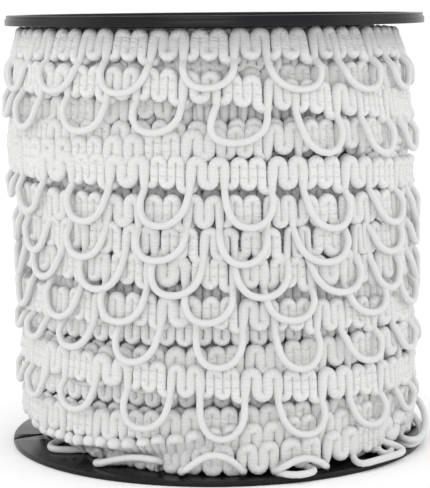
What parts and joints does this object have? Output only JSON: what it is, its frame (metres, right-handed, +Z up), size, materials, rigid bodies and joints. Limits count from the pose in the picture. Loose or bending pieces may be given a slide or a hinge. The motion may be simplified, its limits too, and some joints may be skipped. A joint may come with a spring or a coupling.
{
  "type": "reel of elastic button loop trim",
  "caption": "White elastic button loop trim, a corded heading with hanging cord loops, wound in overlapping rows round a black plastic reel that stands on its lower flange.",
  "frame": {"origin": "centre of the reel's foot, on the surface that it stands on", "axes": "+Z up along the reel's axis, -Y towards the viewer of the picture, +X to the right"},
  "size_m": [0.118, 0.118, 0.1216],
  "materials": {
    "reel": "glossy near-black moulded plastic",
    "trim": "matt white wrapped textile cord"
  },
  "bodies": {
    "root": {"reel_lower_half": "reel", "reel_upper_half": "reel", "wound_trim": "trim"}
  },
  "joints": []
}
